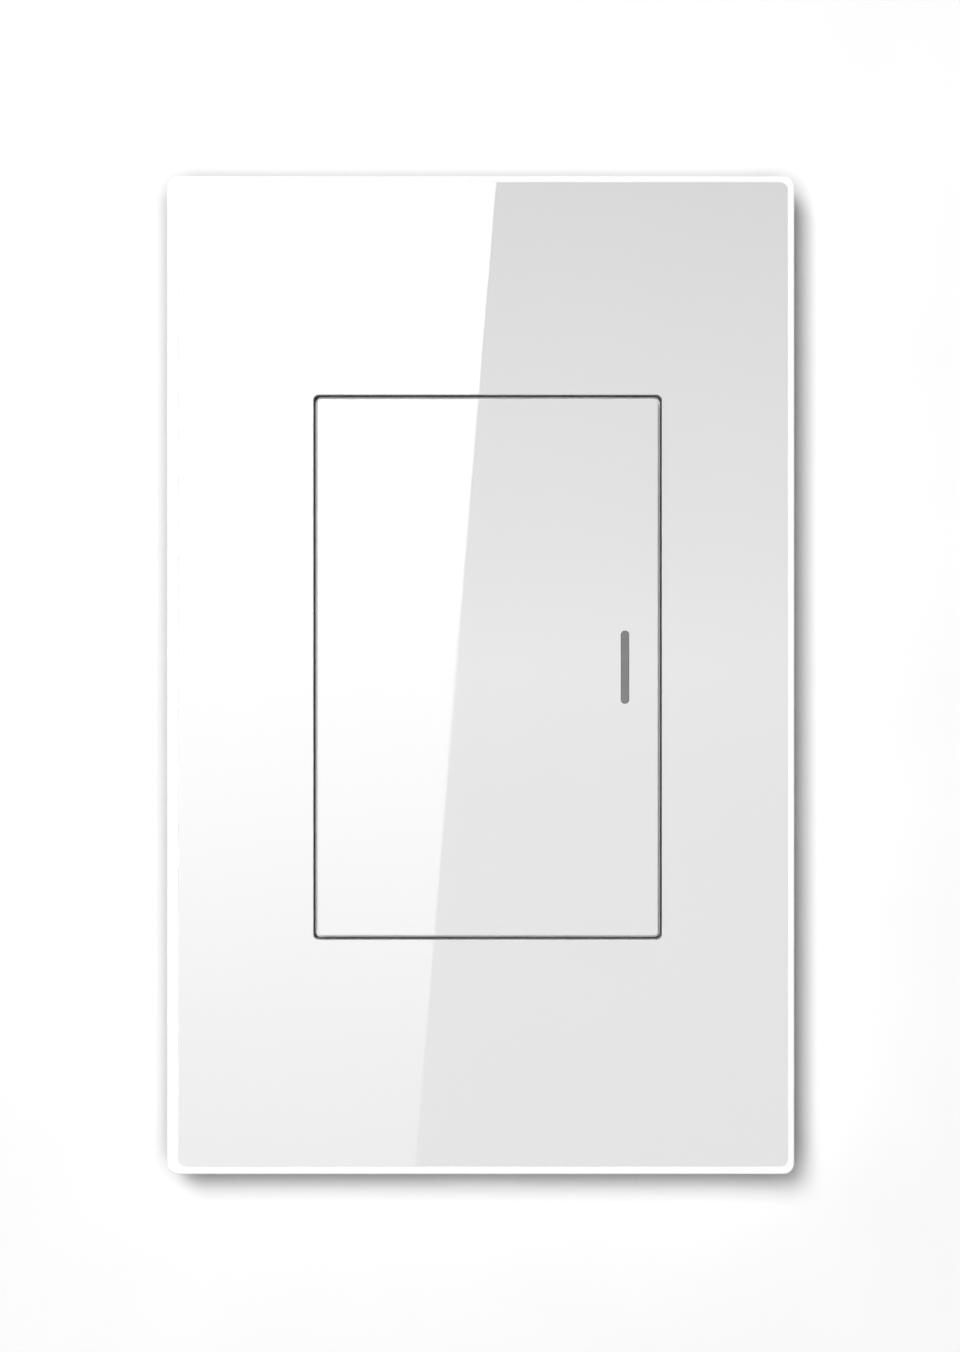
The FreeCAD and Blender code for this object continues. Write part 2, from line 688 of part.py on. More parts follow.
def front_housing():
    deck = slab(housing_width, housing_height, HOUSING_CORNER_RADIUS, deck_front, strap_front)
    rim = slab(housing_width, housing_height, HOUSING_CORNER_RADIUS, housing_rim_front, deck_front)
    rim = rim.cut(centred_block(housing_inner_width, housing_inner_height,
                                housing_rim_front - PAST, deck_front + PAST))
    bosses = [centred_block(BOSS_WIDTH, BOSS_WIDTH, strap_front, boss_back, side_x * screw_x,
                            side_z * screw_z) for side_x, side_z in screw_corners()]
    post_z = board_half_height - BOARD_POST_INSET
    posts = [centred_block(BOARD_POST_WIDTH, BOARD_POST_WIDTH, strap_front, control_board_front,
                           side_x * BOARD_POST_X, side_z * post_z) for side_x, side_z in corners()]
    body = deck.multiFuse([rim] + bosses + posts + hinge_bearings() + spring_pegs())
    pilot_end = boss_back - HOUSING_SCREW_BITE
    pilots = [rod(HOUSING_SCREW_RADIUS, side_x * screw_x, side_z * screw_z, pilot_end,
                  boss_back + PAST) for side_x, side_z in screw_corners()]
    plunger_hole = rod(PLUNGER_RADIUS + PLUNGER_HOLE_MARGIN, TACT_X, 0.0,
                       deck_front - PAST, strap_front + PAST)
    light_hole = lens_window(LIGHT_HOLE_MARGIN, deck_front - PAST, strap_front + PAST)
    cuts = hinge_bores() + hook_slots() + snap_grooves() + pilots + [plunger_hole, light_hole]
    for cut in cuts:
        body = body.cut(cut)
    return body.removeSplitter()


# Strap and screws

def mounting_strap():
    strap = slab(strap_width, strap_height, STRAP_CORNER_RADIUS, strap_front, WALL_PLANE)
    opening = centred_block(strap_opening_width, strap_opening_height,
                            strap_front - PAST, WALL_PLANE + PAST)
    strap = strap.cut(opening)
    slot_width = 2 * (BOX_SCREW_RADIUS + SLOT_CLEARANCE)
    for side in (-1, 1):
        strap = strap.cut(level_slot(slot_width, SLOT_LENGTH, strap_front - PAST,
                                     WALL_PLANE + PAST, 0.0, side * box_screw_z))
    for side_x, side_z in corners():
        strap = strap.cut(rod(ANCHOR_HOLE_RADIUS, side_x * anchor_x, side_z * anchor_z,
                              strap_front - PAST, WALL_PLANE + PAST))
    return strap


def box_screw(side):
    """A screw through the strap, with a thinner neck inside the slot."""
    z = side * box_screw_z
    head_front = strap_front - BOX_SCREW_HEAD_HEIGHT
    head = rod(BOX_SCREW_HEAD_RADIUS, 0.0, z, head_front, strap_front)
    head = head.cut(drive_cross(BOX_SCREW_HEAD_RADIUS, 0.0, z, head_front - PAST,
                                head_front + DRIVE_SLOT_DEPTH))
    neck = rod(BOX_SCREW_NECK_RADIUS, 0.0, z, strap_front, WALL_PLANE)
    thread = rod(BOX_SCREW_RADIUS, 0.0, z, WALL_PLANE, BOX_SCREW_LENGTH)
    return head.multiFuse([neck, thread])


def housing_screw(side_x, side_z):
    """A screw at the bottom of a corner well, driven from the back."""
    x = side_x * screw_x
    z = side_z * screw_z
    head_back = well_floor_back + HOUSING_SCREW_HEAD_HEIGHT
    head = rod(HOUSING_SCREW_HEAD_RADIUS, x, z, well_floor_back, head_back)
    head = head.cut(drive_cross(HOUSING_SCREW_HEAD_RADIUS, x, z, head_back - DRIVE_SLOT_DEPTH,
                                head_back + PAST))
    return head.fuse(rod(HOUSING_SCREW_RADIUS, x, z, boss_back - HOUSING_SCREW_BITE, well_floor_back))


# Back housing

def well_column(side_x, side_z):
    """A solid corner of the housing, in which a screw well is bored."""
    x = side_x * screw_x
    z = side_z * screw_z
    wall_x = side_x * (inner_width + BACK_WALL) / 2
    wall_z = side_z * (inner_height + BACK_WALL) / 2
    near_x = x - side_x * column_reach
    near_z = z - side_z * column_reach
    return block(min(near_x, wall_x), max(near_x, wall_x), boss_back, back_inner,
                 min(near_z, wall_z), max(near_z, wall_z))


def well_bores():
    bores = []
    for side_x, side_z in screw_corners():
        x = side_x * screw_x
        z = side_z * screw_z
        bores.append(rod(well_radius, x, z, well_floor_back, back_depth + PAST))
        bores.append(rod(HOUSING_SCREW_RADIUS + HOUSING_SCREW_HOLE_CLEARANCE, x, z,
                         boss_back - PAST, well_floor_back + PAST))
    return bores


def board_ribs():
    """Ribs on the side walls that carry the power board."""
    wall = inner_width / 2
    ribs = []
    for side_x, side_z in corners():
        x = side_x * (wall - BOARD_RIB_REACH / 2 + BACK_WALL / 4)
        ribs.append(centred_block(BOARD_RIB_REACH + BACK_WALL / 2, BOARD_RIB_WIDTH,
                                  power_board_back, back_inner, x, side_z * BOARD_RIB_Z))
    return ribs


def vent_slots():
    top = BACK_HEIGHT / 2
    back = back_depth - VENT_SETBACK
    places = [(number - (VENT_COUNT - 1) / 2) * VENT_PITCH for number in range(VENT_COUNT)]
    return [block(x - VENT_WIDTH / 2, x + VENT_WIDTH / 2, back - VENT_LENGTH, back,
                  top - BACK_WALL - PAST, top + PAST) for x in places]


def wire_window():
    """One window in the bottom wall, in front of the clamps of all the poles."""
    half = CLAMP_OPENING_WIDTH / 2
    bottom = -BACK_HEIGHT / 2
    return block(pole_places[0] - half, pole_places[-1] + half, clamp_inner_front, clamp_inner_back,
                 bottom - PAST, bottom + BACK_WALL + PAST)


def driver_holes():
    return [rod(access_radius, x, clamp_middle_z, back_inner - PAST, back_depth + PAST)
            for x in pole_places]


def back_housing():
    body = slab(back_width, BACK_HEIGHT, BACK_CORNER_RADIUS, WALL_PLANE, back_depth)
    body = body.makeChamfer(BACK_EDGE_BEVEL, edges_at(body, back_depth))
    hollow = centred_block(inner_width, inner_height, WALL_PLANE - PAST, back_inner)
    body = body.cut(hollow)
    columns = [well_column(side_x, side_z) for side_x, side_z in screw_corners()]
    body = body.multiFuse(columns + board_ribs())
    for cut in well_bores() + vent_slots() + driver_holes() + [wire_window()]:
        body = body.cut(cut)
    return body.removeSplitter()


# Circuit boards

def board(y_from, y_to):
    """A board with notches for the screw columns."""
    plate = centred_block(2 * board_half_width, 2 * board_half_height, y_from, y_to)
    for side_x, side_z in screw_corners():
        edge_x = side_x * (board_half_width + PAST)
        edge_z = side_z * (board_half_height + PAST)
        near_x = side_x * notch_x
        near_z = side_z * notch_z
        plate = plate.cut(block(min(near_x, edge_x), max(near_x, edge_x), y_from, y_to,
                                min(near_z, edge_z), max(near_z, edge_z)))
    return plate


def control_board():
    return board(control_board_front, control_board_back)


def power_board():
    return board(power_board_front, power_board_back)


def tact_switch_body():
    body = centred_block(TACT_WIDTH, TACT_WIDTH, tact_front, control_board_front, TACT_X)
    body = body.makeChamfer(TACT_CORNER, edges_along(body, ALONG_Y))
    well = rod(PLUNGER_RADIUS + PLUNGER_CLEARANCE, TACT_X, 0.0, tact_front - PAST,
               tact_front + PLUNGER_WELL_DEPTH)
    return body.cut(well)


def tact_plunger():
    return rod(PLUNGER_RADIUS, TACT_X, 0.0, plunger_tip, tact_front + PLUNGER_ROOT)


def indicator_led():
    front = control_board_front - LED_HEIGHT
    return centred_block(LED_WIDTH, LED_LENGTH, front, control_board_front, lens_x)


def radio_board():
    back = control_board_back + RADIO_THICKNESS
    return centred_block(RADIO_WIDTH, RADIO_HEIGHT, control_board_back, back, RADIO_X, RADIO_Z)


def radio_shield():
    front = control_board_back + RADIO_THICKNESS
    back = front + SHIELD_HEIGHT
    can = centred_block(RADIO_WIDTH - 2 * SHIELD_MARGIN, RADIO_HEIGHT - 2 * SHIELD_MARGIN,
                        front, back, RADIO_X, RADIO_Z)
    return can.makeChamfer(SHIELD_BEVEL, edges_along(can, ALONG_Y) + edges_at(can, back))


def control_chip():
    back = control_board_back + CHIP_HEIGHT
    return centred_block(CHIP_WIDTH, CHIP_WIDTH, control_board_back, back, CHIP_X, CHIP_Z)


def header_places():
    return [(number - (HEADER_PINS - 1) / 2) * HEADER_PIN_SPACING for number in range(HEADER_PINS)]


def board_pin_header():
    body_back = control_board_back + HEADER_BODY_HEIGHT
    body = centred_block(HEADER_PINS * HEADER_PIN_SPACING, HEADER_PIN_SPACING,
                         control_board_back, body_back, 0.0, HEADER_Z)
    pins = [centred_block(HEADER_PIN_WIDTH, HEADER_PIN_WIDTH, body_back,
                          body_back + HEADER_PIN_LENGTH, x, HEADER_Z) for x in header_places()]
    return body.multiFuse(pins)


def board_socket():
    front = control_board_back + HEADER_BODY_HEIGHT + SOCKET_CLEARANCE
    body = centred_block(HEADER_PINS * HEADER_PIN_SPACING, HEADER_PIN_SPACING,
                         front, power_board_front, 0.0, HEADER_Z)
    width = HEADER_PIN_WIDTH + 2 * SOCKET_CLEARANCE
    for x in header_places():
        body = body.cut(centred_block(width, width, front - PAST, front + HEADER_PIN_LENGTH,
                                      x, HEADER_Z))
    return body


# Parts on the power board

def standing_can(radius, height, x, z):
    """A round capacitor with a bevelled edge at its free end."""
    back = power_board_back + height
    can = rod(radius, x, z, power_board_back, back)
    return can.makeChamfer(PART_BEVEL, edges_at(can, back))


def standing_box(width, length, height, x, z):
    back = power_board_back + height
    body = centred_block(width, length, power_board_back, back, x, z)
    return body.makeChamfer(PART_BEVEL, edges_along(body, ALONG_Y) + edges_at(body, back))


def relay():
    return standing_box(RELAY_WIDTH, RELAY_LENGTH, RELAY_HEIGHT, left_x, relay_z)


def film_capacitor():
    return standing_box(FILM_WIDTH, FILM_THICKNESS, FILM_HEIGHT, 0.0, film_z)


def bridge_rectifier():
    return centred_block(BRIDGE_WIDTH, BRIDGE_LENGTH, power_board_back,
                         power_board_back + BRIDGE_HEIGHT, 0.0, bridge_z)


def varistor():
    """A round disc on two leads, its faces to the left and right."""
    middle_y = power_board_back + LEAD_LENGTH + VARISTOR_RADIUS
    corner = FreeCAD.Vector(left_x - VARISTOR_THICKNESS / 2, middle_y, varistor_z)
    disc = Part.makeCylinder(VARISTOR_RADIUS, VARISTOR_THICKNESS, corner, ALONG_X)
    leads = [centred_block(LEAD_WIDTH, LEAD_WIDTH, power_board_back, middle_y, left_x,
                           varistor_z + side * VARISTOR_RADIUS / 2) for side in (-1, 1)]
    return disc.multiFuse(leads)


def fuse_resistor():
    """A small barrel lying along Z, with a bent lead at each end."""
    middle_y = power_board_back + FUSE_RADIUS + LEAD_LENGTH
    half = FUSE_LENGTH / 2
    barrel = upright_rod(FUSE_RADIUS, right_x, middle_y, fuse_z - half, fuse_z + half)
    reach = half + LEAD_LENGTH
    lead_half = LEAD_WIDTH / 2
    pieces = [centred_block(LEAD_WIDTH, 2 * reach, middle_y - lead_half, middle_y + lead_half,
                            right_x, fuse_z)]
    for side in (-1, 1):
        pieces.append(centred_block(LEAD_WIDTH, LEAD_WIDTH, power_board_back, middle_y,
                                    right_x, fuse_z + side * (reach - lead_half)))
    return barrel.multiFuse(pieces)


def transformer_core():
    """An E-shaped core standing on the coil's base."""
    front = power_board_back + COIL_BASE_THICKNESS
    back = front + CORE_HEIGHT
    core = centred_block(CORE_WIDTH, CORE_DEPTH, front, back, 0.0, coil_z)
    window = CORE_WIDTH / 2 - CORE_LEG - CENTRE_LEG / 2
    for side in (-1, 1):
        middle = side * (CENTRE_LEG + window) / 2
        core = core.cut(centred_block(window, CORE_DEPTH + 2 * PAST, front + CORE_LEG,
                                      back - CORE_LEG, middle, coil_z))
    return core


def transformer_coil():
    """The winding round the centre leg, with its base on the board."""
    base_back = power_board_back + COIL_BASE_THICKNESS
    winding_front = base_back + CORE_LEG + COIL_CLEARANCE
    winding_back = base_back + CORE_HEIGHT - CORE_LEG - COIL_CLEARANCE
    width = CORE_WIDTH - 2 * (CORE_LEG + COIL_CLEARANCE)
    winding = centred_block(width, WINDING_DEPTH, winding_front, winding_back, 0.0, coil_z)
    winding = winding.makeChamfer(WINDING_BEVEL, edges_along(winding, ALONG_Y))
    hole = centred_block(CENTRE_LEG + 2 * COIL_CLEARANCE, CORE_DEPTH + 2 * COIL_CLEARANCE,
                         winding_front - PAST, winding_back + PAST, 0.0, coil_z)
    base = centred_block(CORE_WIDTH, WINDING_DEPTH, power_board_back, base_back, 0.0, coil_z)
    cheek = (WINDING_DEPTH - CORE_DEPTH) / 2 - COIL_CLEARANCE
    cheeks = []
    for side in (-1, 1):
        middle = coil_z + side * (WINDING_DEPTH / 2 - cheek / 2)
        cheeks.append(centred_block(width - 2 * WINDING_BEVEL, cheek, base_back, winding_back,
                                    0.0, middle))
    return winding.cut(hole).multiFuse([base] + cheeks).removeSplitter()


# Terminals

def terminal_block():
    width = POLE_COUNT * POLE_PITCH
    body = block(-width / 2, width / 2, power_board_back, back_inner, block_bottom, block_top)
    cage_half = CLAMP_OPENING_WIDTH / 2 + CLAMP_WALL + CLAMP_FIT
    for x in pole_places:
        body = body.cut(block(x - cage_half, x + cage_half, clamp_front - CLAMP_FIT,
                              clamp_back + CLAMP_FIT, block_bottom - PAST, clamp_top))
        body = body.cut(rod(access_radius, x, clamp_middle_z, clamp_back, back_inner + PAST))
    return body


def terminal_clamp(x):
    """A brass cage that draws the wire against the screw."""
    half = CLAMP_OPENING_WIDTH / 2
    cage = block(x - half - CLAMP_WALL, x + half + CLAMP_WALL, clamp_front, clamp_back,
                 clamp_bottom, clamp_top)
    cage = cage.cut(block(x - half, x + half, clamp_inner_front, clamp_inner_back,
                          clamp_bottom - PAST, clamp_top + PAST))
    return cage.cut(rod(CLAMP_SCREW_RADIUS, x, clamp_middle_z, clamp_inner_back - PAST,
                        clamp_back + PAST))


def terminal_screw(x):
    """A headless screw in the clamp's back wall, turned by a slot in its end."""
    end = clamp_inner_back + CLAMP_SCREW_LENGTH
    screw = rod(CLAMP_SCREW_RADIUS, x, clamp_middle_z, clamp_inner_back, end)
    return screw.cut(centred_block(2 * (CLAMP_SCREW_RADIUS + PAST), DRIVE_SLOT_WIDTH,
                                   end - DRIVE_SLOT_DEPTH, end + PAST, x, clamp_middle_z))


# Return springs

def return_spring(side):
    """A stamped strip: a flat foot, a rising leaf and a bent tip under a rib of the key."""
    z = side * SPRING_SPREAD
    crest = key_wall_back + SPRING_PLAY
    foot_front = deck_front - SPRING_THICKNESS
    end_x = spring_tip_x + SPRING_TIP_LENGTH
    profile = [
        (SPRING_FOOT_START_X, deck_front),
        (SPRING_FOOT_START_X, foot_front),
        (spring_foot_end_x, foot_front),
        (spring_tip_x, crest),
        (end_x, crest + SPRING_TIP_DROP),
        (end_x, crest + SPRING_TIP_DROP + SPRING_THICKNESS),
        (spring_tip_x, crest + SPRING_THICKNESS),
        (spring_foot_end_x, deck_front),
    ]
    points = [FreeCAD.Vector(x, y, z - SPRING_WIDTH / 2) for x, y in profile]
    strip = prism(points, ALONG_Z * SPRING_WIDTH)
    hole_width = PEG_WIDTH + 2 * PEG_CLEARANCE
    return strip.cut(centred_block(hole_width, hole_width, foot_front - PAST, deck_front + PAST,
                                   peg_x, z))


def build_nodes():
    nodes = {
        "cover_frame_glass": cover_frame_glass(),
        "cover_frame_adhesive": cover_frame_adhesive(),
        "cover_frame_carrier": cover_frame_carrier(),
        "key_glass": key_glass(),
        "key_adhesive": key_adhesive(),
        "key_carrier": key_carrier(),
        "indicator_lens": indicator_lens(),
        "mounting_strap": mounting_strap(),
        "front_housing": front_housing(),
        "back_housing": back_housing(),
        "box_screw_top": box_screw(1),
        "box_screw_bottom": box_screw(-1),
        "control_board": control_board(),
        "tact_switch_body": tact_switch_body(),
        "tact_plunger": tact_plunger(),
        "indicator_led": indicator_led(),
        "radio_board": radio_board(),
        "radio_shield": radio_shield(),
        "control_chip": control_chip(),
        "board_pin_header": board_pin_header(),
        "board_socket": board_socket(),
        "power_board": power_board(),
        "relay": relay(),
        "film_capacitor": film_capacitor(),
        "bridge_rectifier": bridge_rectifier(),
        "varistor": varistor(),
        "fuse_resistor": fuse_resistor(),
        "transformer_core": transformer_core(),
        "transformer_coil": transformer_coil(),
        "output_capacitor": standing_can(OUTPUT_RADIUS, OUTPUT_HEIGHT, 0.0, output_z),
        "terminal_block": terminal_block(),
        "return_spring_top": return_spring(1),
        "return_spring_bottom": return_spring(-1),
    }
    for number, (side_x, side_z) in enumerate(screw_corners(), 1):
        nodes[f"housing_screw_{number}"] = housing_screw(side_x, side_z)
    for number in (1, 2):
        place = bulk_z + (number - 1) * bulk_step
        nodes[f"bulk_capacitor_{number}"] = standing_can(BULK_RADIUS, BULK_HEIGHT, right_x, place)
    for number, x in enumerate(pole_places, 1):
        nodes[f"terminal_clamp_{number}"] = terminal_clamp(x)
        nodes[f"terminal_screw_{number}"] = terminal_screw(x)
    return nodes


os.makedirs("parts", exist_ok=True)
for name, shape in build_nodes().items():
    shape.exportStep(f"parts/{name}.step")
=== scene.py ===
import json
import math
import bpy
import bmesh
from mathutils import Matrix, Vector


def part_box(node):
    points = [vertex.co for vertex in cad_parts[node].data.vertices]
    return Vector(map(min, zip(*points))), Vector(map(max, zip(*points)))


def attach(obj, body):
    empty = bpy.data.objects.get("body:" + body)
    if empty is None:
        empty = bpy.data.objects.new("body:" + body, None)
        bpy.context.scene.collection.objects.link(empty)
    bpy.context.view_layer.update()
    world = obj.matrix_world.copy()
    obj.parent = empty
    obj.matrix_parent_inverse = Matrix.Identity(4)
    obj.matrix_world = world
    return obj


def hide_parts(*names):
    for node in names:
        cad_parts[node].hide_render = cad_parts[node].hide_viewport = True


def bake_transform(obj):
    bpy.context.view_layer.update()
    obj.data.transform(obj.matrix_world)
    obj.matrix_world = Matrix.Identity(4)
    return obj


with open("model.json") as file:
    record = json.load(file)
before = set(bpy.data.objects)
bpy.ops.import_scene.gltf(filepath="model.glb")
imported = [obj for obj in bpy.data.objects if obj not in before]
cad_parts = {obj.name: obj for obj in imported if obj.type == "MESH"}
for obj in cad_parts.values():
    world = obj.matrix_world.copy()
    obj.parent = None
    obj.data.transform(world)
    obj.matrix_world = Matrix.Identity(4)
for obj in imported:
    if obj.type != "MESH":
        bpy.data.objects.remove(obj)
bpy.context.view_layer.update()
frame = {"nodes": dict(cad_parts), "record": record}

# Everything is in metres, in the row frame: the front faces -Y, +Z is up.
PHOTO_WIDTH_PX = 960
PHOTO_HEIGHT_PX = 1352
PLATE_LEFT_PX = 167.0
PLATE_RIGHT_PX = 794.3
PLATE_TOP_PX = 176.0
PLATE_BOTTOM_PX = 1174.0

LENS_MM = 100.0
SENSOR_MM = 36.0
NEAREST_SEEN = 0.01
FARTHEST_SEEN = 100.0

# Span in which most of a noise texture's values lie, and where a finish has its two tints
NOISE_LOW = 0.35
NOISE_HIGH = 0.65
TINT_LOW = 0.3
TINT_HIGH = 0.7

# Y of the glass's normal where the polished face ends and where the painted light on its edges is
# full
EDGE_LIGHT_START = -0.98
EDGE_LIGHT_FULL = -0.85
# Painted light: the lighter colour painted on the glass's edges
EDGE_PAINTED_LIGHT_TINT = (0.92, 0.92, 0.92, 1.0)

# The softbox's edge as it is mirrored in the glass, at two heights of the photograph
MIRROR_EDGE_TOP_PX = (494.5, 200.0)
MIRROR_EDGE_BOTTOM_PX = (416.0, 1160.0)

# Light cards in front of the object, each with its brightness at some heights, low to high
CARD_DISTANCE = 1.0
CARD_BOTTOM = -0.20
CARD_TOP = 0.34
SOFTBOX_LEFT = -0.32
FILL_RIGHT = 0.15
SOFTBOX_GLOW = [(-0.183, 4.4), (-0.137, 5.1), (-0.09, 6.1), (-0.044, 7.0), (0.002, 7.8),
                (0.19, 9.0)]
FILL_GLOW = [(-0.183, 2.8), (-0.044, 2.8), (0.002, 3.1), (0.049, 2.15), (0.095, 1.5),
             (0.142, 0.8), (0.188, 0.0)]

# Tall cards to the sides, which light nothing and show only as the glass mirrors them
SIDE_CARD_TURN = 45.0
SIDE_CARD_HALF_WIDTH = 0.155
SIDE_CARD_HALF_HEIGHT = 0.75
SIDE_CARD_GLOW = [(-SIDE_CARD_HALF_HEIGHT, 3.2), (0.0, 4.2), (SIDE_CARD_HALF_HEIGHT, 5.0)]

# Lamps: place, width and watts
KEY_LAMP = ((-0.35, -1.6, 0.46), 0.54, 15.4)
BACK_LAMP = ((-0.5, 0.9, 0.55), 0.7, 10.5)
BACK_FILL_LAMP = ((0.7, 0.8, 0.1), 0.7, 3.5)
SKY_LIGHT = 0.16

# Wall: its width round the plate, its place, and the shade painted into its colour in the corner
# by the plate
WALL_MARGIN = 0.2
WALL_GAP = 0.0002
WALL_OVERLAP = 0.0001
WALL_GLOW = 0.02
WALL_PAINTED_SHADE_REACH = 0.0035
WALL_PAINTED_SHADE_BLACK = 0.18
WALL_PAINTED_SHADE_SAMPLES = 16
WALL_MOTTLE = 40.0
WALL_TINTS = ((0.92, 0.92, 0.92), (0.94, 0.94, 0.94))

# Corners of the cover frame, and the bead of sealant between its glass and its rim
PLATE_CORNER_RADIUS = 0.0013
GLASS_CORNER_RADIUS = 0.001
CORNER_STEPS = 8
BEAD_WIDTH = 0.00003
BEAD_DEPTH = 0.0004
BEAD_SINK = 0.00001

# Return springs, which bend between their foot and their tip; corners nearer than the weld
# distance to each other or to a cut are joined to it
SPRING_FOOT_LENGTH = 0.005
SPRING_TIP_LENGTH = 0.0016
SPRING_CUTS = 16
SPRING_WELD = 0.000001

# Threaded box screws
SCREW_SIDES = 24
THREAD_RADIUS = 0.00175
THREAD_CORE_SHARE = 0.8
THREAD_PITCH = 0.0007
THREAD_RINGS_PER_TURN = 4
POINT_TURNS = 2
NECK_SHARE = 0.88
POINT_SHARE = 0.48
HEAD_DOME = [(0.0, 0.62), (0.06, 0.78), (0.25, 0.93), (0.55, 1.0), (1.0, 1.0)]
RECESS_REACH_SHARE = 0.5
RECESS_HALF_WIDTH = 0.0004
RECESS_DEPTH = 0.001
RECESS_TAPER = 0.7

plate_low, plate_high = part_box("cover_frame_carrier")
glass_low, glass_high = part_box("cover_frame_glass")


# Places worked out from the photograph

def photo_scale():
    """Metres per pixel of the photograph, at the plate's front."""
    return (plate_high[0] - plate_low[0]) / (PLATE_RIGHT_PX - PLATE_LEFT_PX)


def photo_point(x_px, y_px):
    """The place in the row frame, at the plate's front, of a pixel of the photograph."""
    scale = photo_scale()
    middle_x = (plate_low[0] + plate_high[0]) / 2
    middle_z = (plate_low[2] + plate_high[2]) / 2
    x = middle_x + (x_px - (PLATE_LEFT_PX + PLATE_RIGHT_PX) / 2) * scale
    z = middle_z - (y_px - (PLATE_TOP_PX + PLATE_BOTTOM_PX) / 2) * scale
    return x, z


view_x, view_z = photo_point(PHOTO_WIDTH_PX / 2, PHOTO_HEIGHT_PX / 2)
view_distance = PHOTO_HEIGHT_PX * photo_scale() * LENS_MM / SENSOR_MM


def mirrored(point_px):
    """The place on the card plane that the camera sees in the glass at a pixel."""
    x, z = photo_point(*point_px)
    reach = 1 + CARD_DISTANCE / view_distance
    return view_x + (x - view_x) * reach, view_z + (z - view_z) * reach


edge_top = mirrored(MIRROR_EDGE_TOP_PX)
edge_bottom = mirrored(MIRROR_EDGE_BOTTOM_PX)
edge_lean = (edge_top[0] - edge_bottom[0]) / (edge_top[1] - edge_bottom[1])


# Object and mesh helpers

def place(name, data):
    """A new object in the scene."""
    piece = bpy.data.objects.new(name, data)
    bpy.context.scene.collection.objects.link(piece)
    return piece


def built(name, shape):
    """A new object with the mesh of a bmesh, which is freed."""
    mesh = bpy.data.meshes.new(name)
    shape.to_mesh(mesh)
    shape.free()
    return place(name, mesh)


def skin(shape, first, second):
    """Four-sided faces between two closed rings of corners."""
    for step in range(len(first)):
        following = (step + 1) % len(first)
        shape.faces.new((first[step], first[following], second[following], second[step]))


def round_outline(low, high, radius, outwards):
    """The outline of a round-cornered plate, moved outwards by a margin."""
    points = []
    for turn, (x, z) in enumerate(((high[0], high[2]), (low[0], high[2]), (low[0], low[2]),
                                   (high[0], low[2]))):
        centre_x = x - math.copysign(radius, x)
        centre_z = z - math.copysign(radius, z)
        for step in range(CORNER_STEPS + 1):
            angle = (turn + step / CORNER_STEPS) * math.pi / 2
            points.append((centre_x + (radius + outwards) * math.cos(angle),
                           centre_z + (radius + outwards) * math.sin(angle)))
    return points


# Node helpers

def new_material(name):
    material = bpy.data.materials.new(name)
    material.use_nodes = True
    material.node_tree.nodes.clear()
    return material


def add(tree, kind, **values):
    """A new node with its inputs set by name."""
    node = tree.nodes.new(kind)
    for name, value in values.items():
        node.inputs[name.replace("_", " ")].default_value = value
    return node


def show(tree, shader, kind="ShaderNodeOutputMaterial"):
    """Sends a shader to the tree's output."""
    tree.links.new(shader, tree.nodes.new(kind).inputs["Surface"])


def combine(tree, operation, first, second):
    """The product, maximum or the like of two values."""
    node = tree.nodes.new("ShaderNodeMath")
    node.operation = operation
    tree.links.new(first, node.inputs[0])
    tree.links.new(second, node.inputs[1])
    return node.outputs["Value"]


def mix_shaders(tree, factor, first, second):
    node = tree.nodes.new("ShaderNodeMixShader")
    tree.links.new(factor, node.inputs["Fac"])
    tree.links.new(first, node.inputs[1])
    tree.links.new(second, node.inputs[2])
    return node.outputs["Shader"]


def remap(tree, source, low, high, new_low=0.0, new_high=1.0):
    """A value moved from low..high to another span, and held at its ends."""
    node = add(tree, "ShaderNodeMapRange", From_Min=low, From_Max=high, To_Min=new_low,
               To_Max=new_high)
    tree.links.new(source, node.inputs["Value"])
    return node.outputs["Result"]


def object_coordinates(tree):
    return tree.nodes.new("ShaderNodeTexCoord").outputs["Object"]


def noise(tree, scale, detail=2.0, roughness=0.5):
    node = add(tree, "ShaderNodeTexNoise", Scale=scale, Detail=detail, Roughness=roughness)
    tree.links.new(object_coordinates(tree), node.inputs["Vector"])
    return node.outputs["Fac"]


def ramp(tree, source, stops):
    """A colour ramp over a value; stops are (position, colour) pairs."""
    node = tree.nodes.new("ShaderNodeValToRGB")
    while len(node.color_ramp.elements) < len(stops):
        node.color_ramp.elements.new(0.5)
    for element, (position, colour) in zip(node.color_ramp.elements, stops):
        element.position = position
        element.color = (*colour, 1.0)
    tree.links.new(source, node.inputs["Fac"])
    return node.outputs["Color"]


def mottled(tree, scale, dark, light, detail=2.0):
    """Two tints that change into each other in soft patches."""
    return ramp(tree, noise(tree, scale, detail), [(TINT_LOW, dark), (TINT_HIGH, light)])


def shade(colour, factor):
    return tuple(min(1.0, channel * factor) for channel in colour)


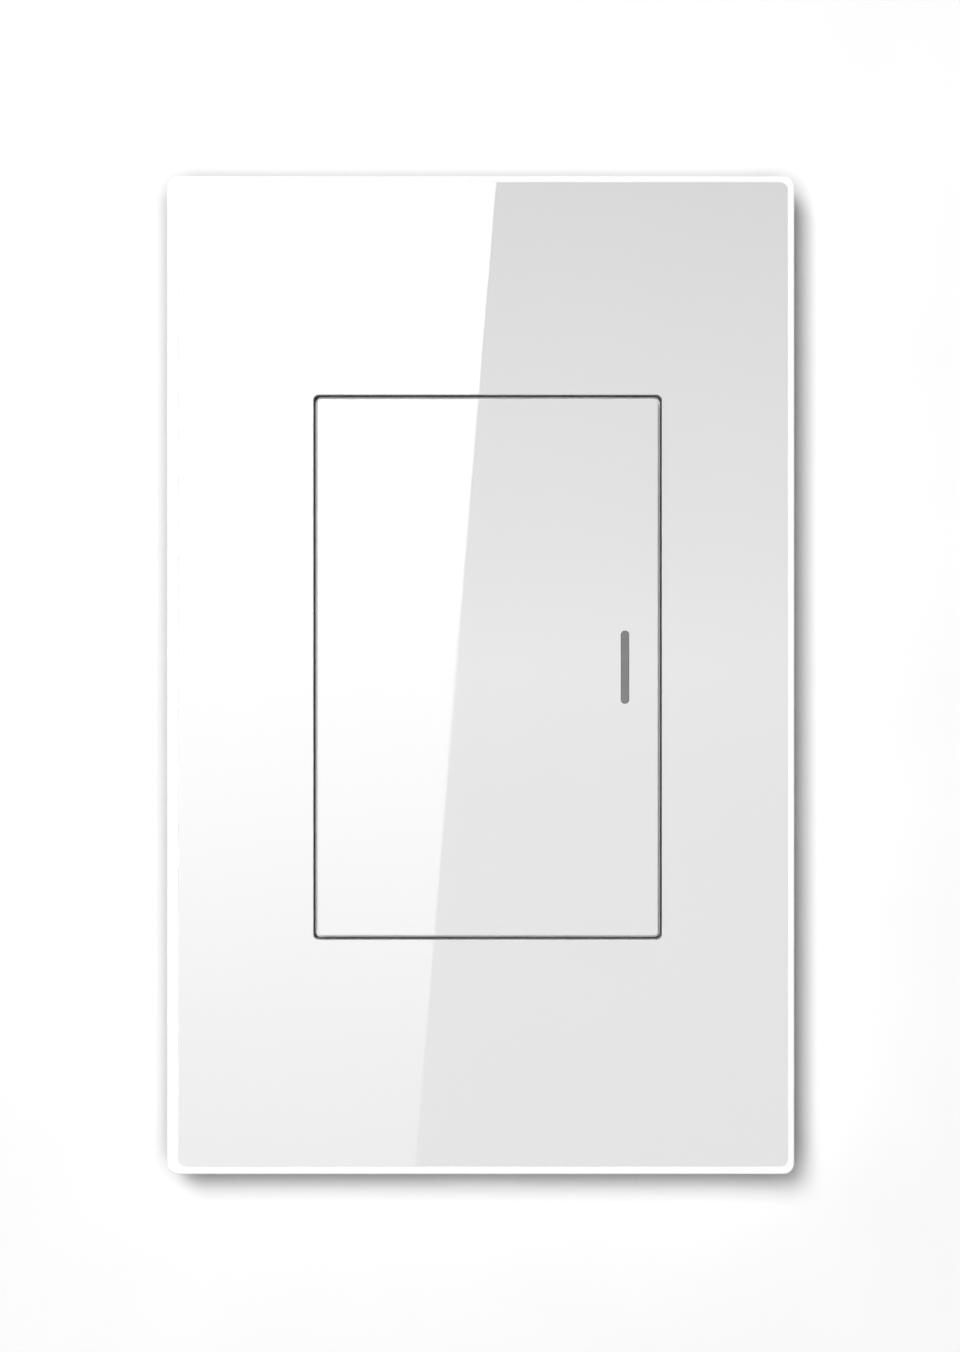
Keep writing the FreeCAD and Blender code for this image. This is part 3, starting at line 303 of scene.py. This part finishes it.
def surface(name, colour, roughness, vary=0.03, mottle=300.0, grain=4000.0, bump=0.00001,
            rough_vary=0.05, metallic=0.0, round_edge=0.0):
    """A procedural finish: mottled colour, uneven gloss and a fine grain in its normal.

    In place of the colour or of the grain's scale, a function can draw a pattern.
    """
    material = new_material(name)
    tree = material.node_tree
    shader = add(tree, "ShaderNodeBsdfPrincipled", Metallic=metallic)
    if callable(colour):
        tints = colour(tree)
    else:
        tints = mottled(tree, mottle, shade(colour, 1 - vary), shade(colour, 1 + vary), detail=3.0)
    tree.links.new(tints, shader.inputs["Base Color"])
    uneven = remap(tree, noise(tree, mottle / 2, detail=4.0), NOISE_LOW, NOISE_HIGH,
                   roughness - rough_vary, roughness + rough_vary)
    tree.links.new(uneven, shader.inputs["Roughness"])
    relief = add(tree, "ShaderNodeBump", Strength=1.0, Distance=bump)
    height = grain(tree) if callable(grain) else noise(tree, grain)
    tree.links.new(height, relief.inputs["Height"])
    if round_edge:
        edge = add(tree, "ShaderNodeBevel", Radius=round_edge)
        tree.links.new(edge.outputs["Normal"], relief.inputs["Normal"])
    tree.links.new(relief.outputs["Normal"], shader.inputs["Normal"])
    show(tree, shader.outputs["BSDF"])
    return material


def principled_of(material):
    return next(node for node in material.node_tree.nodes if node.type == "BSDF_PRINCIPLED")


# Materials, one function each, with the patterns that some of them need

def white_glass():
    """Polished glass over a white painted back, with its edges painted lighter as a painted
    highlight.
    """
    material = surface("white_glass", (0.68, 0.68, 0.68), 0.012, vary=0.004, mottle=60.0,
                       grain=900.0, bump=0.0000001, rough_vary=0.006)
    tree = material.node_tree
    shader = principled_of(material)
    facing = tree.nodes.new("ShaderNodeSeparateXYZ")
    tree.links.new(tree.nodes.new("ShaderNodeNewGeometry").outputs["True Normal"],
                   facing.inputs["Vector"])
    # Painted light: the colour turns lighter where the glass's normal turns away from the front,
    # on its edges
    painted_edge_light = remap(tree, facing.outputs["Y"], EDGE_LIGHT_START, EDGE_LIGHT_FULL)
    tints = tree.nodes.new("ShaderNodeMix")
    tints.data_type = "RGBA"
    face_colour = shader.inputs["Base Color"].links[0].from_socket
    tree.links.new(painted_edge_light, tints.inputs["Factor"])
    tree.links.new(face_colour, tints.inputs["A"])
    tints.inputs["B"].default_value = EDGE_PAINTED_LIGHT_TINT
    tree.links.new(tints.outputs["Result"], shader.inputs["Base Color"])
    return material


def white_plastic():
    return surface("white_plastic", (0.93, 0.93, 0.925), 0.38, vary=0.01, mottle=150.0,
                   grain=9000.0, bump=0.000004, round_edge=0.00003)


def grey_plastic():
    """The key's carrier, whose edge is the floor of the groove round the key."""
    return surface("grey_plastic", (0.8, 0.8, 0.8), 0.5, vary=0.04, mottle=200.0,
                   grain=7000.0, bump=0.000006)


def housing_plastic():
    return surface("housing_plastic", (0.8, 0.8, 0.79), 0.5, vary=0.02, mottle=120.0,
                   grain=6000.0, bump=0.00001, round_edge=0.0002)


def foam_tape():
    return surface("foam_tape", (0.75, 0.75, 0.74), 0.85, vary=0.05, mottle=2500.0,
                   grain=5000.0, bump=0.00003)


def smoked_lens():
    """A smoked light guide with a faint glow of depth."""
    material = surface("smoked_lens", (0.128, 0.128, 0.13), 0.14, vary=0.06, mottle=500.0,
                       grain=3000.0, bump=0.000001, rough_vary=0.03)
    shader = principled_of(material)
    shader.inputs["Subsurface Weight"].default_value = 0.2
    shader.inputs["Subsurface Scale"].default_value = 0.001
    return material


def zinc_crystals(tree):
    """Flat crystals of slightly different brightness."""
    crystals = add(tree, "ShaderNodeTexVoronoi", Scale=420.0)
    tree.links.new(object_coordinates(tree), crystals.inputs["Vector"])
    grey = tree.nodes.new("ShaderNodeRGBToBW")
    tree.links.new(crystals.outputs["Color"], grey.inputs["Color"])
    return ramp(tree, grey.outputs["Val"], [(0.0, (0.53, 0.54, 0.56)), (1.0, (0.68, 0.69, 0.7))])


def zinc_steel():
    return surface("zinc_steel", zinc_crystals, 0.36, mottle=90.0, grain=5000.0,
                   bump=0.000004, rough_vary=0.08, metallic=1.0)


def spring_steel():
    return surface("spring_steel", (0.55, 0.54, 0.52), 0.3, vary=0.05, mottle=400.0,
                   grain=8000.0, bump=0.000003, metallic=1.0)


def screw_steel():
    return surface("screw_steel", (0.68, 0.67, 0.64), 0.28, vary=0.05, mottle=500.0,
                   grain=6000.0, bump=0.000003, metallic=1.0, round_edge=0.0001)


def brass():
    return surface("brass", (0.78, 0.58, 0.26), 0.3, vary=0.07, mottle=300.0,
                   grain=6000.0, bump=0.000003, metallic=1.0)


def copper_tracks(tree):
    """Green solder mask with straight copper tracks showing through."""
    tracks = add(tree, "ShaderNodeTexBrick", Scale=220.0, Mortar_Size=0.07)
    tracks.inputs["Color1"].default_value = (0.02, 0.15, 0.06, 1.0)
    tracks.inputs["Color2"].default_value = (0.03, 0.2, 0.08, 1.0)
    tracks.inputs["Mortar"].default_value = (0.09, 0.33, 0.13, 1.0)
    turned = add(tree, "ShaderNodeMapping", Rotation=(math.pi / 2, 0.0, 0.0))
    tree.links.new(object_coordinates(tree), turned.inputs["Vector"])
    tree.links.new(turned.outputs["Vector"], tracks.inputs["Vector"])
    return tracks.outputs["Color"]


def board_green():
    return surface("board_green", copper_tracks, 0.35, mottle=200.0, grain=4000.0,
                   bump=0.000005)


def black_plastic():
    return surface("black_plastic", (0.03, 0.03, 0.032), 0.5, vary=0.15, mottle=400.0,
                   grain=7000.0, bump=0.000008)


def plunger_plastic():
    return surface("plunger_plastic", (0.2, 0.2, 0.21), 0.4, vary=0.08, mottle=600.0,
                   grain=7000.0, bump=0.000005)


def relay_blue():
    return surface("relay_blue", (0.02, 0.1, 0.36), 0.3, vary=0.06, mottle=300.0,
                   grain=5000.0, bump=0.000005)


def film_yellow():
    return surface("film_yellow", (0.78, 0.55, 0.05), 0.35, vary=0.05, mottle=300.0,
                   grain=5000.0, bump=0.000005)


def sleeve_dark():
    return surface("sleeve_dark", (0.03, 0.03, 0.06), 0.25, vary=0.12, mottle=350.0,
                   grain=3000.0, bump=0.000006)


def varistor_blue():
    return surface("varistor_blue", (0.04, 0.16, 0.45), 0.25, vary=0.08, mottle=500.0,
                   grain=1500.0, bump=0.00003)


def resistor_green():
    return surface("resistor_green", (0.2, 0.36, 0.24), 0.35, vary=0.08, mottle=500.0,
                   grain=1500.0, bump=0.00002)


def ferrite():
    return surface("ferrite", (0.06, 0.06, 0.062), 0.6, vary=0.2, mottle=800.0,
                   grain=5000.0, bump=0.00002)


def tape_turns(tree):
    """The edges of the tape's turns, as faint bands."""
    bands = add(tree, "ShaderNodeTexWave", Scale=180.0, Distortion=1.5)
    bands.bands_direction = "Y"
    tree.links.new(object_coordinates(tree), bands.inputs["Vector"])
    return bands.outputs["Fac"]


def tape_yellow():
    return surface("tape_yellow", (0.82, 0.62, 0.1), 0.22, vary=0.05, mottle=300.0,
                   grain=tape_turns, bump=0.00001)


def terminal_plastic():
    return surface("terminal_plastic", (0.13, 0.19, 0.16), 0.45, vary=0.08, mottle=300.0,
                   grain=6000.0, bump=0.000008)


def shield_metal():
    return surface("shield_metal", (0.7, 0.7, 0.68), 0.3, vary=0.04, mottle=200.0,
                   grain=6000.0, bump=0.000003, metallic=1.0)


def led_white():
    return surface("led_white", (0.85, 0.82, 0.6), 0.3, vary=0.06, mottle=900.0,
                   grain=3000.0, bump=0.000004)


FINISHES = {
    finish.__name__: finish for finish in (
        white_glass, white_plastic, grey_plastic, housing_plastic, foam_tape, smoked_lens,
        zinc_steel, spring_steel, screw_steel, brass, board_green, black_plastic, plunger_plastic,
        relay_blue, film_yellow, sleeve_dark, varistor_blue, resistor_green, ferrite, tape_yellow,
        terminal_plastic, shield_metal, led_white)
}


def dress_nodes():
    """Gives every CAD node the finish that the record names for it."""
    materials = {name: finish() for name, finish in FINISHES.items()}
    for part in frame["record"]["subparts"]:
        node = frame["nodes"][part["node"]]
        for finish_slot in node.material_slots:
            finish_slot.material = materials[part["material_slot"]]
    return materials


# Lights, wall and camera

def card(name, corners, stops, turn=0.0):
    """A glowing card in front of the object, or turned to its side by some degrees.

    Stops are (height, brightness) from low to high.
    """
    mesh = bpy.data.meshes.new(name)
    y = glass_low[1] - CARD_DISTANCE
    mesh.from_pydata([(x, y, z) for x, z in corners], [], [range(len(corners))])
    piece = place(name, mesh)
    piece.rotation_euler = (0.0, 0.0, math.radians(turn))
    material = new_material(name)
    tree = material.node_tree
    split = tree.nodes.new("ShaderNodeSeparateXYZ")
    tree.links.new(object_coordinates(tree), split.inputs["Vector"])
    low, high = stops[0][0], stops[-1][0]
    peak = max(brightness for _, brightness in stops)
    fade = ramp(tree, remap(tree, split.outputs["Z"], low, high),
                [((height - low) / (high - low), (brightness / peak,) * 3)
                 for height, brightness in stops])
    glow = add(tree, "ShaderNodeEmission", Strength=peak)
    tree.links.new(fade, glow.inputs["Color"])
    show(tree, glow.outputs["Emission"])
    mesh.materials.append(material)
    piece.visible_camera = False
    piece.visible_shadow = False
    return piece


def edge_x(z):
    """Where the slanted edge between the softbox and the fill card is, at a height."""
    return edge_bottom[0] + (z - edge_bottom[1]) * edge_lean


def front_cards():
    """A softbox to the left, with the slanted edge that the glass mirrors, and a weak fill."""
    softbox = [(SOFTBOX_LEFT, CARD_BOTTOM), (edge_x(CARD_BOTTOM), CARD_BOTTOM),
               (edge_x(CARD_TOP), CARD_TOP), (SOFTBOX_LEFT, CARD_TOP)]
    card("softbox", softbox, SOFTBOX_GLOW)
    fill = [(edge_x(CARD_BOTTOM), CARD_BOTTOM), (FILL_RIGHT, CARD_BOTTOM),
            (FILL_RIGHT, CARD_TOP), (edge_x(CARD_TOP), CARD_TOP)]
    card("fill_card", fill, FILL_GLOW)


def side_cards():
    """A tall card on each side, slanted like the softbox, that only the glass mirrors."""
    reach = SIDE_CARD_HALF_WIDTH
    shift = SIDE_CARD_HALF_HEIGHT * edge_lean
    tall = [(-reach - shift, -SIDE_CARD_HALF_HEIGHT), (reach - shift, -SIDE_CARD_HALF_HEIGHT),
            (reach + shift, SIDE_CARD_HALF_HEIGHT), (-reach + shift, SIDE_CARD_HALF_HEIGHT)]
    for name, turn in (("left_card", -SIDE_CARD_TURN), ("right_card", SIDE_CARD_TURN)):
        card(name, tall, SIDE_CARD_GLOW, turn).visible_diffuse = False


def soft_lamp(name, spot, size, energy):
    """A square lamp aimed at the middle of the object, and not mirrored in glass or metal."""
    lamp = bpy.data.lights.new(name, "AREA")
    lamp.shape = "SQUARE"
    lamp.size = size
    lamp.energy = energy
    holder = place(name, lamp)
    holder.location = spot
    holder.rotation_euler = (-holder.location).to_track_quat("-Z", "Y").to_euler()
    holder.visible_glossy = False


def lamps():
    """A key lamp high on the left for the drop shadow, and two lamps for the hidden side."""
    soft_lamp("key_lamp", *KEY_LAMP)
    soft_lamp("back_lamp", *BACK_LAMP)
    soft_lamp("back_fill_lamp", *BACK_FILL_LAMP)


def seen_directly(tree):
    """One for rays from the camera and for those that metal and glass mirror or pass on."""
    path = tree.nodes.new("ShaderNodeLightPath")
    total = path.outputs["Is Camera Ray"]
    for name in ("Is Glossy Ray", "Is Transmission Ray"):
        total = combine(tree, "MAXIMUM", total, path.outputs[name])
    return total


def wall_paint():
    """White paint with painted shade, darker in the corner by the plate; from behind, the wall
    isn't seen.
    """
    material = new_material("wall_paint")
    tree = material.node_tree
    # Painted shade: ambient occlusion darkens the paint's colour near the plate
    corner = add(tree, "ShaderNodeAmbientOcclusion", Distance=WALL_PAINTED_SHADE_REACH)
    corner.samples = WALL_PAINTED_SHADE_SAMPLES
    shaded = remap(tree, corner.outputs["AO"], WALL_PAINTED_SHADE_BLACK, 1.0)
    shade_painted_tints = tree.nodes.new("ShaderNodeVectorMath")
    shade_painted_tints.operation = "SCALE"
    tree.links.new(mottled(tree, WALL_MOTTLE, *WALL_TINTS), shade_painted_tints.inputs[0])
    tree.links.new(shaded, shade_painted_tints.inputs["Scale"])
    paint = add(tree, "ShaderNodeBsdfDiffuse")
    tree.links.new(shade_painted_tints.outputs["Vector"], paint.inputs["Color"])
    glow = add(tree, "ShaderNodeEmission", Strength=WALL_GLOW)
    lifted = tree.nodes.new("ShaderNodeAddShader")
    tree.links.new(paint.outputs["BSDF"], lifted.inputs[0])
    tree.links.new(glow.outputs["Emission"], lifted.inputs[1])
    white = mix_shaders(tree, seen_directly(tree), paint.outputs["BSDF"],
                        lifted.outputs["Shader"])
    behind = combine(tree, "MULTIPLY",
                     tree.nodes.new("ShaderNodeNewGeometry").outputs["Backfacing"],
                     tree.nodes.new("ShaderNodeLightPath").outputs["Is Camera Ray"])
    clear = tree.nodes.new("ShaderNodeBsdfTransparent")
    show(tree, mix_shaders(tree, behind, white, clear.outputs["BSDF"]))
    return material


def wall():
    """The pale wall behind the plate, with an opening that the plate covers."""
    shape = bmesh.new()
    rings = [[shape.verts.new((x, WALL_GAP, z)) for x, z in
              round_outline(plate_low, plate_high, PLATE_CORNER_RADIUS, margin)]
             for margin in (WALL_MARGIN, -WALL_OVERLAP)]
    skin(shape, *rings)
    piece = built("wall", shape)
    piece.data.materials.append(wall_paint())


def sky():
    """An even pale surround, white where it is seen directly."""
    world = bpy.data.worlds.new("sky")
    world.use_nodes = True
    tree = world.node_tree
    tree.nodes.clear()
    even = add(tree, "ShaderNodeBackground", Color=(1.0, 1.0, 1.0, 1.0), Strength=SKY_LIGHT)
    white = add(tree, "ShaderNodeBackground", Color=(1.0, 1.0, 1.0, 1.0), Strength=1.0)
    both = mix_shaders(tree, seen_directly(tree), even.outputs["Background"],
                       white.outputs["Background"])
    show(tree, both, "ShaderNodeOutputWorld")
    bpy.context.scene.world = world


def camera():
    """Straight on, at the distance where the plate fills the frame as in the photograph."""
    data = bpy.data.cameras.new("camera")
    data.lens = LENS_MM
    data.sensor_width = SENSOR_MM
    data.clip_end = FARTHEST_SEEN
    data.clip_start = NEAREST_SEEN
    holder = place("camera", data)
    holder.location = (view_x, plate_low[1] - view_distance, view_z)
    holder.rotation_euler = (math.pi / 2, 0.0, 0.0)
    bpy.context.scene.camera = holder


# Pieces that Blender adds

def sealant_bead():
    """A thin closed bead that fills the joint between the glass and the rim."""
    front = plate_low[1] + BEAD_SINK
    shape = bmesh.new()
    section = [(0.0, front), (BEAD_WIDTH / 2, front + BEAD_SINK), (BEAD_WIDTH, front),
               (BEAD_WIDTH, front + BEAD_DEPTH), (0.0, front + BEAD_DEPTH)]
    rings = [[shape.verts.new((x, y, z)) for x, z in
              round_outline(glass_low, glass_high, GLASS_CORNER_RADIUS, margin)]
             for margin, y in section]
    for first, second in zip(rings, rings[1:] + rings[:1]):
        skin(shape, first, second)
    bmesh.ops.recalc_face_normals(shape, faces=shape.faces)
    return built("glass_sealant_bead", shape)


def dress_bead(materials):
    piece = sealant_bead()
    piece.data.materials.append(materials["white_plastic"])
    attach(piece, "base")


def screw_point(shape, middle, radius, turn, y):
    """A corner of the mesh at a radius and an angle round the screw's middle line."""
    return shape.verts.new((middle[0] + radius * math.cos(turn), y,
                            middle[1] + radius * math.sin(turn)))


def screw_ring(shape, middle, y, radii):
    return [screw_point(shape, middle, radius, step * math.tau / SCREW_SIDES, y)
            for step, radius in enumerate(radii)]


def round_ring(shape, middle, y, radius):
    return screw_ring(shape, middle, y, [radius] * SCREW_SIDES)


def thread_ring(shape, middle, number, start):
    """One ring of the thread, whose crest winds once round per turn."""
    core = THREAD_RADIUS * THREAD_CORE_SHARE
    radii = []
    for step in range(SCREW_SIDES):
        phase = (number / THREAD_RINGS_PER_TURN + step / SCREW_SIDES) % 1.0
        crest = 1 - abs(2 * phase - 1)
        radii.append(core + (THREAD_RADIUS - core) * crest)
    return screw_ring(shape, middle, start + number * THREAD_PITCH / THREAD_RINGS_PER_TURN, radii)


def cross_ring(shape, middle, y, reach, half_width):
    """The outline of a cross, four corners to each quarter turn."""
    quarter = [(reach, 0.0), (reach, half_width), (half_width, half_width), (half_width, reach)]
    points = []
    for _ in range(4):
        points += [shape.verts.new((middle[0] + x, y, middle[1] + z)) for x, z in quarter]
        quarter = [(-z, x) for x, z in quarter]
    return points


def cross_recess(shape, middle, top, head_radius):
    """The flat top of the head, with a cross sunk into it."""
    y = top[0].co.y
    reach = head_radius * RECESS_REACH_SHARE
    mouth = cross_ring(shape, middle, y, reach, RECESS_HALF_WIDTH)
    floor = cross_ring(shape, middle, y + RECESS_DEPTH, reach * RECESS_TAPER,
                       RECESS_HALF_WIDTH * RECESS_TAPER)
    arc = SCREW_SIDES // 4
    for quarter in range(4):
        inner = [mouth[(4 * quarter + step) % len(mouth)] for step in range(5)]
        outer = [top[(arc * quarter + step) % len(top)] for step in range(arc, -1, -1)]
        shape.faces.new(inner + outer)
    skin(shape, mouth, floor)
    shape.faces.new(floor)


def threaded_screw(name):
    """A pan-head screw with a helical thread, in the place of the plain CAD screw."""
    low, high = (Vector(corner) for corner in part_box(name))
    middle = ((low.x + high.x) / 2, (low.z + high.z) / 2)
    head_radius = (high.x - low.x) / 2
    strap_low, strap_high = (Vector(corner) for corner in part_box("mounting_strap"))
    head_back = strap_low.y
    thread_start = strap_high.y
    core = THREAD_RADIUS * THREAD_CORE_SHARE
    shape = bmesh.new()
    rings = [round_ring(shape, middle, low.y + depth * (head_back - low.y), head_radius * share)
             for depth, share in HEAD_DOME]
    rings.append(round_ring(shape, middle, head_back, THREAD_RADIUS * NECK_SHARE))
    rings.append(round_ring(shape, middle, thread_start, THREAD_RADIUS * NECK_SHARE))
    turns = (high.y - thread_start) / THREAD_PITCH - POINT_TURNS
    rings += [thread_ring(shape, middle, number, thread_start)
              for number in range(int(turns * THREAD_RINGS_PER_TURN))]
    rings.append(round_ring(shape, middle, high.y - THREAD_PITCH, core))
    rings.append(round_ring(shape, middle, high.y, THREAD_RADIUS * POINT_SHARE))
    for first, second in zip(rings, rings[1:]):
        skin(shape, first, second)
    cross_recess(shape, middle, rings[0], head_radius)
    shape.faces.new(rings[-1])
    bmesh.ops.recalc_face_normals(shape, faces=shape.faces)
    return built(f"{name}_threaded", shape)


def dress_screws(materials):
    for name in ("box_screw_top", "box_screw_bottom"):
        piece = threaded_screw(name)
        piece.data.materials.append(materials["screw_steel"])
        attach(piece, "base")
        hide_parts(name)


def bending_spring(name):
    """The CAD strip with cuts along its leaf, and with flat faces."""
    low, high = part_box(name)
    foot_end = low[0] + SPRING_FOOT_LENGTH
    tip_start = high[0] - SPRING_TIP_LENGTH
    mesh = frame["nodes"][name].data.copy()
    shape = bmesh.new()
    shape.from_mesh(mesh)
    bmesh.ops.remove_doubles(shape, verts=shape.verts, dist=SPRING_WELD)
    for cut in range(SPRING_CUTS + 1):
        x = foot_end + (tip_start - foot_end) * cut / SPRING_CUTS
        bmesh.ops.bisect_plane(shape, geom=shape.verts[:] + shape.edges[:] + shape.faces[:],
                               dist=SPRING_WELD, plane_co=(x, 0.0, 0.0),
                               plane_no=(1.0, 0.0, 0.0))
    for face in shape.faces:
        face.smooth = False
    shape.to_mesh(mesh)
    shape.free()
    piece = place(f"{name}_bending", mesh)
    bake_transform(piece)
    return piece


def dress_springs():
    for name in ("return_spring_top", "return_spring_bottom"):
        piece = bending_spring(name)
        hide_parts(name)


materials = dress_nodes()
dress_screws(materials)
dress_springs()
dress_bead(materials)
front_cards()
side_cards()
lamps()
wall()
sky()
camera()
bpy.context.scene.view_settings.view_transform = "Standard"
